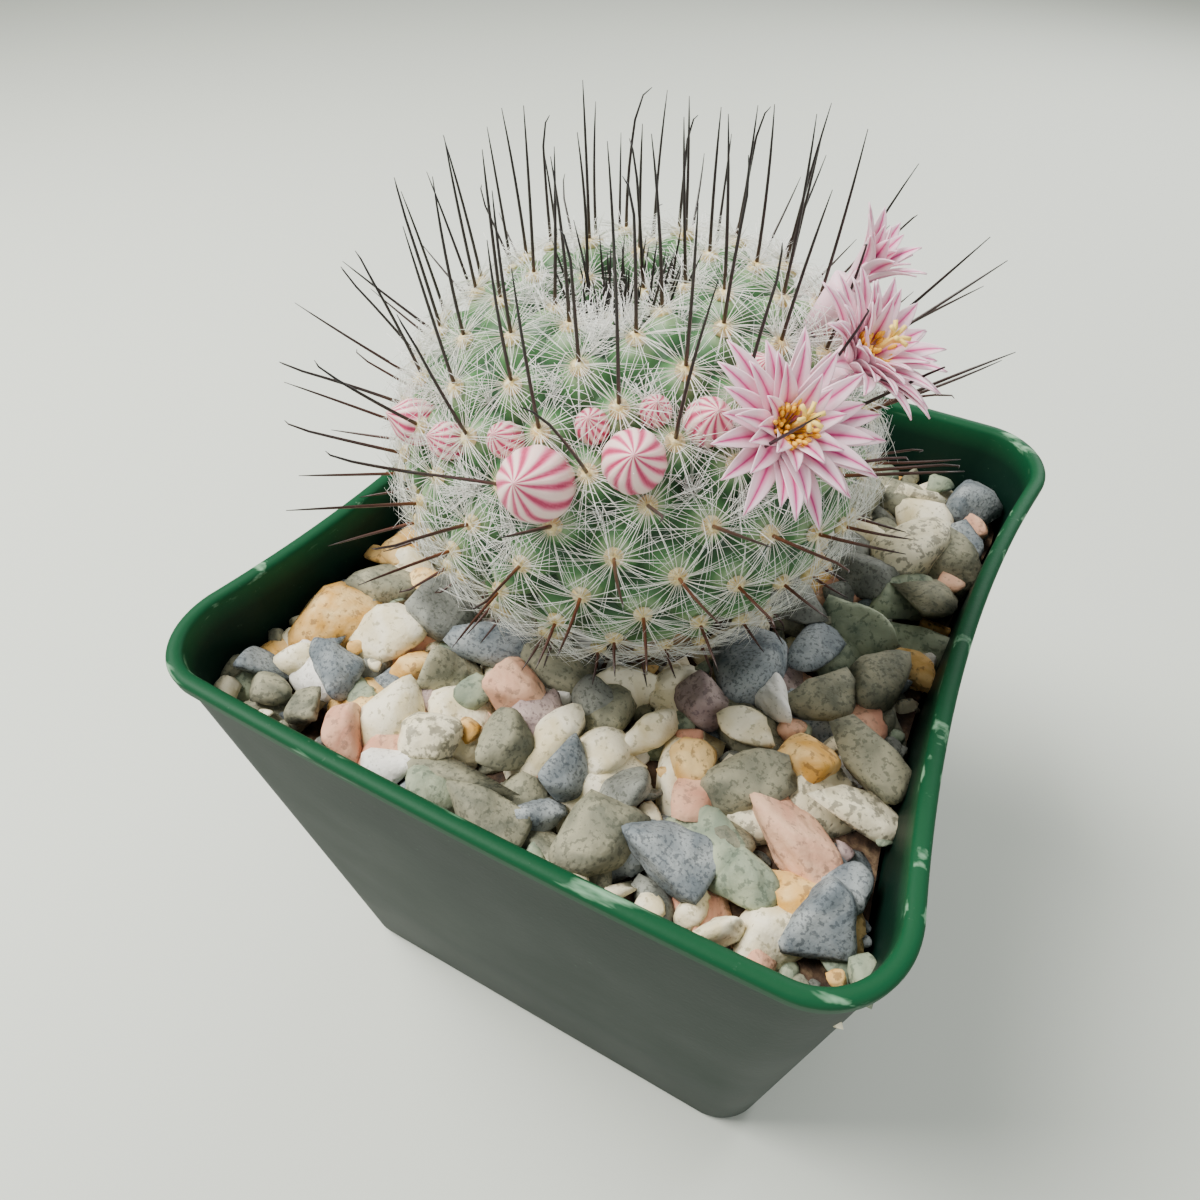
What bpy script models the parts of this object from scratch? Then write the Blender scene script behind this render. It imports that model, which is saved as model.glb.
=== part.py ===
"""Potted round cactus: a flowering pincushion cactus in a square nursery pot dressed with gravel.

Metres, +Z up. The origin is the middle of the pot's underside, which stands on z = 0.
The cactus leans a little towards -X, and its areoles follow one golden-angle spiral.
"""

import math

import bmesh
import bpy
from mathutils import Matrix, Vector, noise

MM = 0.001
GAP = 0.3 * MM

# Pot: a drafted square tub with rounded corners and a lip
RIM_SIDE = 76.0 * MM
RIM_CORNER = 8.7 * MM
BASE_SIDE = 63.5 * MM
BASE_CORNER = 6.5 * MM
POT_HEIGHT = 67.0 * MM
WALL = 1.0 * MM
FLOOR = 1.6 * MM
LIP_HEIGHT = 2.2 * MM
LIP_PROUD = 0.6 * MM
FOOT_ROUND = 1.2 * MM
RIM_BOWS = (0.8 * MM, -4.2 * MM, 0.8 * MM, -5.7 * MM)  # outwards, on the -Y, +X, +Y and -X sides
DRAIN_RADIUS = 3.2 * MM
DRAIN_REACH = 21.0 * MM

# Filling, from the pot's floor up
SOIL_TOP = 51.5 * MM
BED_TOP = 57.0 * MM
BED_BOTTOM = SOIL_TOP + GAP

# Cactus stem at the level of its areoles, about its own leaning axis
STEM_CENTRE = Vector((-1.6, -1.3, 80.3)) * MM
STEM_LEAN = Matrix.Rotation(math.radians(-6.6), 3, "Y")
STEM_RADIUS = 21.9 * MM
STEM_RISE = 17.9 * MM
STEM_SAG = 0.17  # how much deeper than it rises the stem is
CROWN_DIP = 5.5 * MM
CROWN_WIDTH = 0.35
TUBERCLE_HEIGHT = 2.2 * MM
NECK_RADIUS = 6.5 * MM
NECK_BOTTOM = -27.4 * MM

# Areoles: one spiral, each areole a golden angle on from the last
GOLDEN_ANGLE = -137.51
FIRST_ANGLE = 69.3
AREOLE_STEP = 0.00855
AREOLE_STRETCH = 7e-6
FIRST_AREOLE = 5
LAST_AREOLE = 176
SPIRAL_ROWS = 13

ROOT_RADIUS = 5.2 * MM
ROOT_DEPTH = 30.0 * MM

# Flowers and buds: name, turn about the stem's axis, height on the stem (1 = crown), size
BUDS = (
    ("bud_01", 278, 0.42, 5.6 * MM),
    ("bud_02", 299, 0.50, 4.8 * MM),
    ("bud_03", 318, 0.585, 3.6 * MM),
    ("bud_04", 289, 0.63, 2.6 * MM),
    ("bud_05", 306, 0.66, 2.4 * MM),
    ("bud_06", 266, 0.55, 2.8 * MM),
    ("bud_07", 231, 0.42, 3.8 * MM),
    ("bud_08", 247, 0.46, 3.0 * MM),
    ("bud_09", 337, 0.67, 3.0 * MM),
    ("bud_10", 20, 0.56, 4.2 * MM),
)
FLOWERS = (
    ("flower_1", 328, 0.47, 6.0 * MM, 1.0, -4),
    ("flower_2", 351, 0.52, 6.0 * MM, 1.0, 8),
    ("flower_3", 12, 0.64, 4.6 * MM, 0.35, 0),
)
PETALS_PER_RING = 9
TUBE_LENGTH = 6.5 * MM
BUD_SEAT = 1.3 * MM

# Stones lying on the gravel bed, in mm: x, y, length, width, height, turn in degrees, colour
STONES = (
    (16.4, -29.8, 8.6, 6.8, 5.2, 12, "blue_grey"),
    (25.4, -22.0, 11.0, 5.2, 4.4, -28, "salmon"),
    (30.2, -29.2, 7.0, 5.8, 5.6, 80, "blue_grey"),
    (23.1, -28.5, 5.4, 4.4, 3.8, -20, "olive"),
    (23.6, -14.6, 6.2, 5.8, 5.0, 30, "ochre"),
    (22.4, -33.6, 4.6, 3.4, 3.4, 15, "cream"),
    (-0.2, -33.2, 10.0, 4.6, 4.0, -16, "olive"),
    (-2.4, -26.4, 6.2, 5.8, 5.0, 70, "olive"),
    (4.3, -26.6, 5.4, 5.0, 5.0, 60, "blue_grey"),
    (10.2, -25.6, 5.4, 5.2, 4.8, 40, "olive"),
    (9.0, -18.6, 7.6, 3.4, 4.2, 64, "cream"),
    (14.4, -19.4, 5.4, 4.4, 4.6, 80, "ochre"),
    (18.6, -9.8, 5.0, 4.8, 4.8, 0, "cream"),
    (12.6, -13.0, 5.6, 4.8, 4.2, 20, "mauve"),
    (2.2, -17.6, 5.8, 3.8, 3.8, -10, "slate"),
    (-4.8, -20.2, 6.0, 5.2, 4.8, 35, "salmon"),
    (-11.6, -21.6, 5.8, 5.6, 4.8, 10, "olive"),
    (-9.0, -29.2, 5.8, 5.4, 4.8, 0, "cream"),
    (-16.4, -32.6, 6.4, 4.8, 4.2, -24, "salmon"),
    (-22.6, -26.8, 7.2, 5.2, 4.6, -14, "blue_grey"),
    (-29.8, -29.6, 5.4, 4.8, 4.6, 40, "blue_grey"),
    (23.4, 4.0, 8.4, 5.6, 4.4, 10, "olive"),
)

COLOURS = {  # colour, roughness
    "pot_plastic": ((0.010, 0.090, 0.045), 0.35),
    "soil": ((0.045, 0.026, 0.015), 0.95),
    "gravel": ((0.33, 0.30, 0.23), 0.85),
    "stem_green": ((0.035, 0.130, 0.035), 0.55),
    "root_bark": ((0.42, 0.30, 0.18), 0.85),
    "spine_dark": ((0.030, 0.013, 0.008), 0.45),
    "wool": ((0.75, 0.70, 0.56), 0.95),
    "bud_pink": ((0.72, 0.22, 0.30), 0.55),
    "petal_pink": ((0.85, 0.45, 0.58), 0.55),
    "pollen_yellow": ((0.80, 0.48, 0.05), 0.70),
    "stigma_yellow": ((0.85, 0.60, 0.15), 0.60),
    "blue_grey": ((0.16, 0.19, 0.21), 0.85),
    "slate": ((0.14, 0.14, 0.13), 0.85),
    "olive": ((0.20, 0.21, 0.15), 0.85),
    "salmon": ((0.58, 0.30, 0.20), 0.85),
    "ochre": ((0.62, 0.38, 0.14), 0.85),
    "cream": ((0.68, 0.60, 0.42), 0.80),
    "mauve": ((0.35, 0.25, 0.25), 0.85),
}


def clear_scene():
    for thing in list(bpy.data.objects):
        bpy.data.objects.remove(thing, do_unlink=True)


def make_collection(name):
    collection = bpy.data.collections.new(name)
    bpy.context.scene.collection.children.link(collection)
    return collection


def make_materials():
    materials = {}
    for name, (colour, roughness) in COLOURS.items():
        material = bpy.data.materials.new(name)
        material.use_nodes = True
        shader = material.node_tree.nodes["Principled BSDF"]
        shader.inputs["Base Color"].default_value = (*colour, 1.0)
        shader.inputs["Roughness"].default_value = roughness
        shader.inputs["Metallic"].default_value = 0.0
        material.diffuse_color = (*colour, 1.0)
        materials[name] = material
    return materials


clear_scene()
PART = make_collection("potted_round_cactus")
TOOLS = make_collection("cutters")
MATERIALS = make_materials()


def add_object(name, mesh, material, smooth=True):
    piece = bpy.data.objects.new(name, mesh)
    PART.objects.link(piece)
    if not mesh.materials:
        mesh.materials.append(MATERIALS[material])
    if smooth:
        mesh.shade_smooth()
        mesh.set_sharp_from_angle(angle=math.radians(40))
    return piece


def add_tool(name, mesh):
    """A cutter or joining shape: out of the part, drawn as wire."""
    tool = bpy.data.objects.new(name, mesh)
    TOOLS.objects.link(tool)
    tool.hide_render = True
    tool.display_type = "WIRE"
    return tool


def add_boolean(piece, tool, operation, overlapping=False):
    cut = piece.modifiers.new(operation.title(), "BOOLEAN")
    cut.operation = operation
    cut.object = tool
    cut.solver = "EXACT"
    cut.use_self = overlapping


def mesh_from(bm, name):
    bmesh.ops.recalc_face_normals(bm, faces=bm.faces)
    mesh = bpy.data.meshes.new(name)
    bm.to_mesh(mesh)
    bm.free()
    return mesh


def curve_mesh(name, curve):
    """The evaluated curve as a welded mesh."""
    holder = bpy.data.objects.new(name, curve)
    bpy.context.scene.collection.objects.link(holder)
    graph = bpy.context.evaluated_depsgraph_get()
    mesh = bpy.data.meshes.new_from_object(holder.evaluated_get(graph))
    bpy.data.objects.remove(holder, do_unlink=True)
    bm = bmesh.new()
    bm.from_mesh(mesh)
    bmesh.ops.remove_doubles(bm, verts=bm.verts, dist=0.01 * MM)
    bm.to_mesh(mesh)
    bm.free()
    mesh.name = name
    return mesh


def tube_curve(name, points, radii, resolution=0):
    """A capped tube through the points, with a radius at each."""
    curve = bpy.data.curves.new(name, "CURVE")
    curve.dimensions = "3D"
    curve.bevel_depth = 1.0
    curve.bevel_resolution = resolution
    curve.use_fill_caps = True
    spline = curve.splines.new("POLY")
    spline.points.add(len(points) - 1)
    for place, point, radius in zip(spline.points, points, radii):
        place.co = (*point, 1.0)
        place.radius = radius
    return curve


def frame_along(normal):
    """A turn that carries +Z onto the normal."""
    return Vector((0, 0, 1)).rotation_difference(normal).to_matrix().to_4x4()


def add_cone(bm, point, direction, length, radius_low, radius_high, sides, start=0.0):
    middle = point + direction * (start + length / 2)
    bmesh.ops.create_cone(
        bm, cap_ends=True, cap_tris=False, segments=sides, radius1=radius_low,
        radius2=radius_high, depth=length, matrix=Matrix.Translation(middle) @ frame_along(direction))


# ---- pot and filling ----


def pot_outline(height, inset, steps=5):
    """The rounded square at one height, moved in by inset, with the sides' bows."""
    share = height / POT_HEIGHT
    half = (BASE_SIDE + (RIM_SIDE - 2 * LIP_PROUD - BASE_SIDE) * share) / 2
    corner = BASE_CORNER + (RIM_CORNER - BASE_CORNER) * share
    points = []
    for quarter in range(4):
        turn = Matrix.Rotation(math.radians(90 * quarter), 3, "Z")
        bow = RIM_BOWS[quarter] * share
        for step in range(1, steps + 1):  # the straight side, bowed
            along = (half - corner) * (2 * step / (steps + 1) - 1)
            out = half - inset + bow * (1 - (along / half) ** 2)
            points.append(turn @ Vector((along, -out, height)))
        edge_bow = bow * (1 - ((half - corner) / half) ** 2)
        next_bow = RIM_BOWS[(quarter + 1) % 4] * share * (1 - ((half - corner) / half) ** 2)
        for step in range(steps + 1):  # the corner arc
            angle = math.radians(-90 + 90 * step / steps)
            radius = corner - inset
            side = Vector((half - corner + radius * math.cos(angle),
                           -(half - corner) + radius * math.sin(angle), height))
            side.y -= edge_bow * (1 - step / steps)
            side.x += next_bow * step / steps
            points.append(turn @ side)
    return points


def loft(name, rings):
    """A closed skin through rings of as many points each, capped at both ends."""
    bm = bmesh.new()
    loops = [[bm.verts.new(point) for point in ring] for ring in rings]
    count = len(rings[0])
    for low, high in zip(loops, loops[1:]):
        for here in range(count):
            after = (here + 1) % count
            bm.faces.new((low[here], low[after], high[after], high[here]))
    bm.faces.new(list(reversed(loops[0])))
    bm.faces.new(loops[-1])
    return mesh_from(bm, name)


def make_pot():
    lip_bottom = POT_HEIGHT - LIP_HEIGHT
    soft = LIP_PROUD * 0.6
    rings = [
        pot_outline(0.0, FOOT_ROUND),
        pot_outline(FOOT_ROUND * 0.3, FOOT_ROUND * 0.3),
        pot_outline(FOOT_ROUND, 0.0),
        pot_outline(lip_bottom, 0.0),
        pot_outline(lip_bottom + soft, -LIP_PROUD),
        pot_outline(POT_HEIGHT - soft, -LIP_PROUD),
        pot_outline(POT_HEIGHT, -LIP_PROUD + soft),
        pot_outline(POT_HEIGHT, WALL - 0.3 * MM),
        pot_outline(POT_HEIGHT - 0.3 * MM, WALL),
        pot_outline(BED_TOP, WALL),
        pot_outline(SOIL_TOP, WALL),
        pot_outline(SOIL_TOP / 2, WALL),
        pot_outline(FLOOR + FOOT_ROUND, WALL),
        pot_outline(FLOOR, WALL + FOOT_ROUND),
    ]
    pot = add_object("pot", loft("pot", rings), "pot_plastic")
    bm = bmesh.new()
    for x in (-DRAIN_REACH, DRAIN_REACH):
        for y in (-DRAIN_REACH, DRAIN_REACH):
            add_cone(bm, Vector((x, y, -FLOOR)), Vector((0, 0, 1)), FLOOR * 3, DRAIN_RADIUS, DRAIN_RADIUS, 16)
    add_boolean(pot, add_tool("drain_holes", mesh_from(bm, "drain_holes")), "DIFFERENCE")


def root_mesh(name, extra):
    """The tapering taproot and its branches; extra fattens it into the hole's cutter."""
    top = stem_point(NECK_BOTTOM, 0)
    top = Vector((top.x, top.y, SOIL_TOP))
    count = 7
    points = []
    radii = []
    for step in range(count):
        share = step / (count - 1)
        bend = Vector((math.sin(share * share * 3.0) * 1.6 * MM, math.sin(share * share * 2.5) * 1.2 * MM, 0))
        points.append(top + bend - Vector((0, 0, ROOT_DEPTH * share)))
        radii.append(ROOT_RADIUS * (1 - 0.86 * share) + extra)
    points[-1].z -= extra
    if extra:
        points.insert(0, top + Vector((0, 0, 2 * MM)))
        radii.insert(0, ROOT_RADIUS + extra)
    main = add_tool(name + "_main", curve_mesh(name, tube_curve(name, points, radii, 2)))
    for branch in range(5):
        angle = branch * 2.4
        out = Vector((math.cos(angle), math.sin(angle), 0))
        start = top - Vector((0, 0, (5 + 3.2 * branch) * MM))
        route = []
        widths = []
        for step in range(5):
            share = step / 4
            reach = (14.0 - branch) * MM
            route.append(start + out * reach * share - Vector((0, 0, 6 * MM * share ** 2)))
            widths.append((1.3 - 0.8 * share) * MM + extra)
        route[-1] += out * extra
        side_name = f"{name}_branch_{branch}"
        side = add_tool(side_name, curve_mesh(side_name, tube_curve(side_name, route, widths, 1)))
        add_boolean(main, side, "UNION")
    return main


def make_filling():
    """The soil block and the gravel bed, holed for the root and the stem's neck."""
    inset = WALL + 1.5 * GAP
    soil_rings = [
        pot_outline(FLOOR + GAP, inset + FOOT_ROUND),
        pot_outline(FLOOR + GAP + FOOT_ROUND, inset),
        pot_outline(SOIL_TOP / 2, inset),
        pot_outline(SOIL_TOP, inset),
    ]
    soil = add_object("potting_mix", loft("potting_mix", soil_rings), "soil")
    add_boolean(soil, root_mesh("root_hole", 0.5 * MM), "DIFFERENCE")
    bed_rings = [pot_outline(BED_BOTTOM, inset), pot_outline(BED_TOP, inset)]
    bed = add_object("gravel_bed", loft("gravel_bed", bed_rings), "gravel")
    neck = stem_point((BED_BOTTOM + BED_TOP) / 2 - STEM_CENTRE.z, 0)
    bm = bmesh.new()
    start = Vector((neck.x, neck.y, SOIL_TOP - MM))
    add_cone(bm, start, Vector((0, 0, 1)), 8 * MM, NECK_RADIUS + 0.9 * MM, NECK_RADIUS + 0.9 * MM, 24)
    add_boolean(bed, add_tool("neck_hole", mesh_from(bm, "neck_hole")), "DIFFERENCE")


def make_root():
    main = root_mesh("root_solid", 0.0)
    TOOLS.objects.unlink(main)
    PART.objects.link(main)
    main.name = "root"
    main.hide_render = False
    main.display_type = "TEXTURED"
    main.data.materials.append(MATERIALS["root_bark"])
    main.data.shade_smooth()


def make_stones():
    """Rounded broken stones, each set down on the bed."""
    for number, (x, y, length, width, height, turn, colour) in enumerate(STONES, 1):
        bm = bmesh.new()
        bmesh.ops.create_icosphere(bm, subdivisions=2, radius=0.5)
        for vert in bm.verts:
            facet = noise.noise(vert.co * 2.2 + Vector((number * 3.7, number, 0)))
            vert.co *= 1.0 + 0.28 * facet
        low = Vector([min(v.co[i] for v in bm.verts) for i in range(3)])
        high = Vector([max(v.co[i] for v in bm.verts) for i in range(3)])
        size = Vector((length, width, height)) * MM
        for vert in bm.verts:
            vert.co = Vector([((vert.co[i] - low[i]) / (high[i] - low[i]) - 0.5) * size[i] for i in range(3)])
        place = Vector((x * MM, y * MM, BED_TOP + GAP + size.z / 2))
        placed = Matrix.Translation(place) @ Matrix.Rotation(math.radians(turn), 4, "Z")
        bmesh.ops.transform(bm, matrix=placed, verts=bm.verts)
        name = f"stone_{number:02d}"
        add_object(name, mesh_from(bm, name), colour, smooth=False)


# ---- cactus ----


def stem_point(height, radius, angle=0.0):
    """A point given about the stem's own axis, in the part's frame."""
    spot = Vector((radius * math.cos(angle), radius * math.sin(angle), height))
    return STEM_CENTRE + STEM_LEAN @ spot


def stem_profile(rise, inset=0.0):
    """Radius and height where the cosine from the crown is rise, inset below the areoles."""
    rise = max(-1.0, min(1.0, rise))
    wide = math.sqrt(1 - rise * rise)
    radius = (STEM_RADIUS - inset) * wide
    if rise > 0:
        dip = CROWN_DIP * math.exp(-((wide / CROWN_WIDTH) ** 2))
        return radius, (STEM_RISE - inset) * rise - dip
    return radius, (STEM_RISE - inset) * rise * (1 + STEM_SAG * rise * rise)


def stem_frame(angle, rise, inset=0.0):
    """Point and outward normal on the stem."""
    step = 0.02
    polar = math.acos(max(-1.0, min(1.0, rise)))
    before = stem_profile(math.cos(max(polar - step, 0.0)), inset)
    after = stem_profile(math.cos(polar + step), inset)
    slope = Vector((before[1] - after[1], after[0] - before[0]))
    slope.normalize()
    radius, height = stem_profile(rise, inset)
    point = stem_point(height, radius, angle)
    normal = Vector((slope.x * math.cos(angle), slope.x * math.sin(angle), slope.y))
    return point, (STEM_LEAN @ normal).normalized()


def areole(number, inset=0.0):
    """Point, normal and rise of one areole of the spiral."""
    count = number + 0.85
    rise = 1 - AREOLE_STEP * count - AREOLE_STRETCH * count * count
    angle = math.radians(FIRST_ANGLE + GOLDEN_ANGLE * number)
    point, normal = stem_frame(angle, rise, inset)
    return point, normal, rise


def make_stem():
    """The round body with its neck, and a tubercle under each areole."""
    bm = bmesh.new()
    steps = 17
    profile = []
    for step in range(steps + 1):
        polar = math.radians(156) * step / steps
        radius, height = stem_profile(math.cos(polar), TUBERCLE_HEIGHT)
        profile.append((radius, height))
    profile.append((NECK_RADIUS, -21.0 * MM))
    profile.append((NECK_RADIUS - 0.5 * MM, NECK_BOTTOM))
    profile.append((0.0, NECK_BOTTOM))
    verts = [bm.verts.new((radius, 0, height)) for radius, height in profile]
    for high, low in zip(verts, verts[1:]):
        bm.edges.new((high, low))
    mesh = bpy.data.meshes.new("cactus_stem")
    bm.to_mesh(mesh)
    bm.free()
    stem = add_object("cactus_stem", mesh, "stem_green")
    stem.location = STEM_CENTRE
    stem.rotation_euler = STEM_LEAN.to_euler()
    screw = stem.modifiers.new("Screw", "SCREW")
    screw.steps = 28
    screw.render_steps = 28
    screw.use_merge_vertices = True
    screw.merge_threshold = 0.01 * MM
    screw.use_smooth_shade = True
    bm = bmesh.new()
    for number in range(FIRST_AREOLE, LAST_AREOLE + 1):
        point, normal, _ = areole(number, TUBERCLE_HEIGHT)
        add_cone(bm, point, normal, TUBERCLE_HEIGHT + 0.1 * MM, 2.0 * MM, 0.9 * MM, 4, start=-0.6 * MM)
    add_boolean(stem, add_tool("tubercles", mesh_from(bm, "tubercles")), "UNION")


def spine_direction(normal, rise):
    """Central spines stand upright near the crown and straight out lower down."""
    share = max(0.0, min(1.0, (rise - 0.42) / 0.2))
    upright = 0.25 + 3.5 * share * share
    return (normal + Vector((0, 0, upright))).normalized()


def spine_length(rise):
    if rise > 0.2:
        return 12.0 * MM
    return max(4.0, 12.0 + 9.0 * (rise - 0.2)) * MM


def bloom_balls():
    """Balls, as centre and radius, that hold the buds and flowers with some room."""
    balls = []
    for _, turn, rise, size in BUDS:
        point, normal = stem_frame(math.radians(turn), rise, TUBERCLE_HEIGHT)
        balls.append((point + normal * (BUD_SEAT + size * 0.6), size * 0.68 + 0.3 * MM))
    for _, turn, rise, petal_length, _, swing in FLOWERS:
        point, normal = stem_frame(math.radians(turn), rise, TUBERCLE_HEIGHT)
        outward = flower_direction(normal, swing)
        for reach in (0.2, 0.5):
            balls.append((point + outward * TUBE_LENGTH * reach, 2.3 * MM))
        balls.append((point + outward * (TUBE_LENGTH + 2.2 * MM), petal_length + 1.2 * MM))
    return balls


def areole_clears(number, balls):
    """Whether an areole, its spine and its link to the next keep clear of the blooms."""
    point, normal, rise = areole(number)
    outward = spine_direction(normal, rise) * spine_length(rise)
    after = areole(number + SPIRAL_ROWS)[0] + normal * 0.85 * MM
    start = point + normal * 0.85 * MM
    samples = [start + outward * (step / 8) for step in range(9)]
    samples += [start.lerp(after, step / 6) for step in range(1, 6)]
    return all((sample - centre).length > radius + 0.5 * MM for sample in samples for centre, radius in balls)


def longest_run(numbers, balls):
    best, run = [], []
    for number in numbers:
        run = run + [number] if areole_clears(number, balls) else []
        if len(run) > len(best):
            best = run
    return best


def make_spine_rows():
    """One node for each spiral row: woolly areoles strung on their laced radial spines."""
    balls = bloom_balls()
    for row in range(SPIRAL_ROWS):
        numbers = [n for n in range(FIRST_AREOLE, LAST_AREOLE + 1) if n % SPIRAL_ROWS == row]
        numbers = longest_run(numbers, balls)
        points = []
        radii = []
        bm = bmesh.new()
        for number in numbers:
            point, normal, rise = areole(number, 0.0)
            centre = point + normal * 0.85 * MM
            if points:
                points.append((points[-1] + centre) / 2 + normal * 0.25 * MM)
                radii.append(0.28 * MM)
            points.append(centre)
            radii.append(0.75 * MM)
            outward = spine_direction(normal, rise)
            add_cone(bm, centre, outward, spine_length(rise), 0.3 * MM, 0.1 * MM, 3)
        name = f"spine_row_{row + 1:02d}"
        string = add_object(name, curve_mesh(name, tube_curve(name, points, radii)), "spine_dark")
        add_boolean(string, add_tool(name + "_spines", mesh_from(bm, name + "_spines")), "UNION")


def make_crown_tuft():
    """The wool in the crown's hollow, with the youngest spines standing in it."""
    floor, up = stem_frame(0.0, 1.0, TUBERCLE_HEIGHT)
    bm = bmesh.new()
    bmesh.ops.create_uvsphere(bm, u_segments=12, v_segments=8, radius=1.0)
    size = Matrix.Diagonal((2.2 * MM, 2.2 * MM, 1.3 * MM, 1.0))
    place = Matrix.Translation(floor + up * 1.75 * MM) @ frame_along(up) @ size
    bmesh.ops.transform(bm, matrix=place, verts=bm.verts)
    tuft = add_object("crown_tuft", mesh_from(bm, "crown_tuft"), "wool")
    bm = bmesh.new()
    for number in range(7):
        angle = math.radians(GOLDEN_ANGLE * number)
        out = Vector((math.cos(angle), math.sin(angle), 0))
        root = floor + up * 2.2 * MM + out * (0.35 + 0.17 * number) * MM
        add_cone(bm, root, (up + out * 0.12).normalized(), 8.5 * MM, 0.25 * MM, 0.08 * MM, 3)
    add_boolean(tuft, add_tool("crown_spines", mesh_from(bm, "crown_spines")), "UNION", overlapping=True)


def make_buds():
    """Pointed buds, turned from one profile, seated between the tubercles."""
    for name, turn, rise, size in BUDS:
        point, normal = stem_frame(math.radians(turn), rise, TUBERCLE_HEIGHT)
        length = size * 1.25
        bm = bmesh.new()
        shares = (0.0, 0.1, 0.3, 0.55, 0.8, 1.0)
        widths = (0.0, 0.62, 0.95, 0.92, 0.55, 0.0)
        verts = [bm.verts.new((size / 2 * wide, 0, length * share))
                 for share, wide in reversed(list(zip(shares, widths)))]
        for high, low in zip(verts, verts[1:]):
            bm.edges.new((high, low))
        mesh = bpy.data.meshes.new(name)
        bm.to_mesh(mesh)
        bm.free()
        bud = add_object(name, mesh, "bud_pink")
        outward = (normal + Vector((0, 0, 0.15))).normalized()
        bud.matrix_world = Matrix.Translation(point + outward * BUD_SEAT) @ frame_along(outward)
        screw = bud.modifiers.new("Screw", "SCREW")
        screw.steps = 8
        screw.render_steps = 8
        screw.use_merge_vertices = True
        screw.merge_threshold = 0.01 * MM


def add_petal(bm, centre, outward, across, length, width, thickness, lift):
    """One pointed petal: a flat double-ended blade from the centre outwards."""
    along = (across * math.cos(lift) + outward * math.sin(lift)).normalized()
    side = outward.cross(across).normalized()
    top = along.cross(side)
    middle = centre + along * (length / 2)
    blade = Matrix.Identity(4)
    for row in range(3):
        blade[row][0] = along[row] * length / 2
        blade[row][1] = side[row] * width / 2
        blade[row][2] = top[row] * thickness / 2
        blade[row][3] = middle[row]
    bmesh.ops.create_uvsphere(bm, u_segments=4, v_segments=2, radius=1.0, matrix=blade)


def flower_direction(normal, swing):
    """The way a flower faces: its seat's normal, swung about +Z and lifted a little."""
    swung = Matrix.Rotation(math.radians(swing), 3, "Z") @ normal
    return (swung + Vector((0, 0, 0.2))).normalized()


def make_flowers():
    """Open flowers on short tubes: petals, a ring of stamens and the stigma."""
    for name, turn, rise, petal_length, openness, swing in FLOWERS:
        point, normal = stem_frame(math.radians(turn), rise, TUBERCLE_HEIGHT)
        outward = flower_direction(normal, swing)
        base = point + outward * BUD_SEAT
        centre = base + outward * TUBE_LENGTH
        bm = bmesh.new()
        add_cone(bm, base, outward, TUBE_LENGTH, 0.9 * MM, 2.2 * MM, 8)
        tube = add_object(name + "_petals", mesh_from(bm, name), "petal_pink", smooth=False)
        aside = outward.orthogonal().normalized()
        bm = bmesh.new()
        for ring, lift in enumerate((0.5, 0.9)):
            for number in range(PETALS_PER_RING):
                spin = math.tau * (number + 0.5 * ring) / PETALS_PER_RING
                across = Matrix.Rotation(spin, 3, outward) @ aside
                rise_angle = lift + (1 - openness) * 0.5 + 0.08 * (number % 3)
                root = centre - outward * (0.9 + 0.3 * ring) * MM + across * 0.6 * MM
                add_petal(bm, root, outward, across, petal_length, 2.2 * MM, 0.6 * MM, rise_angle)
        add_boolean(tube, add_tool(name + "_blades", mesh_from(bm, name + "_blades")), "UNION", overlapping=True)
        if openness < 1:
            continue
        stigma = bmesh.new()
        add_cone(stigma, centre, outward, 3.6 * MM, 0.3 * MM, 0.45 * MM, 8, start=GAP)
        add_object(name + "_stigma", mesh_from(stigma, name + "_stigma"), "stigma_yellow")
        ring_mesh = stamen_ring(name + "_stamens")
        stamens = add_object(name + "_stamens", ring_mesh, "pollen_yellow")
        stamens.matrix_world = Matrix.Translation(centre + outward * GAP) @ frame_along(outward)
        screw = stamens.modifiers.new("Screw", "SCREW")
        screw.steps = 10
        screw.render_steps = 10


def stamen_ring(name):
    """The closed section of the stamens' bunch, standing round the style."""
    inner = 0.8 * MM
    bm = bmesh.new()
    section = ((inner, 0.0), (inner, 2.2 * MM), (inner + 0.4 * MM, 2.2 * MM), (inner + 0.1 * MM, 0.0))
    verts = [bm.verts.new((radius, 0, height)) for radius, height in section]
    for here, vert in enumerate(verts):
        bm.edges.new((vert, verts[(here + 1) % len(verts)]))
    mesh = bpy.data.meshes.new(name)
    bm.to_mesh(mesh)
    bm.free()
    return mesh


make_pot()
make_filling()
make_root()
make_stones()
make_stem()
make_spine_rows()
make_crown_tuft()
make_buds()
make_flowers()
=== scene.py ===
import math

import bpy
import numpy as np
from mathutils import Matrix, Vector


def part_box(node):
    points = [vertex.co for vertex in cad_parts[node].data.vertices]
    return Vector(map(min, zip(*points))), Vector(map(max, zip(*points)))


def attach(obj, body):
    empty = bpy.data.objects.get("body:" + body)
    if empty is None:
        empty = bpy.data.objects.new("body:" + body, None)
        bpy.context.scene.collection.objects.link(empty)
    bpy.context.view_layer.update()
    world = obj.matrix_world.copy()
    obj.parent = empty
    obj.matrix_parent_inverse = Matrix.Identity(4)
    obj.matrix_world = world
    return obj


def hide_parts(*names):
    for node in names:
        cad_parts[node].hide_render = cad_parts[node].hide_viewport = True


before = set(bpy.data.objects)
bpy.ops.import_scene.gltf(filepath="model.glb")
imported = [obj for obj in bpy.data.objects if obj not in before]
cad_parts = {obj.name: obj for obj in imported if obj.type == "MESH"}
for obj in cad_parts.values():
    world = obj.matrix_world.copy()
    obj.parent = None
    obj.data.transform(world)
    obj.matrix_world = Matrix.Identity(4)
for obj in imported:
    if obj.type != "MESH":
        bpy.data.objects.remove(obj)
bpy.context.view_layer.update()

mm = 0.001  # one millimetre in metres
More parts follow.
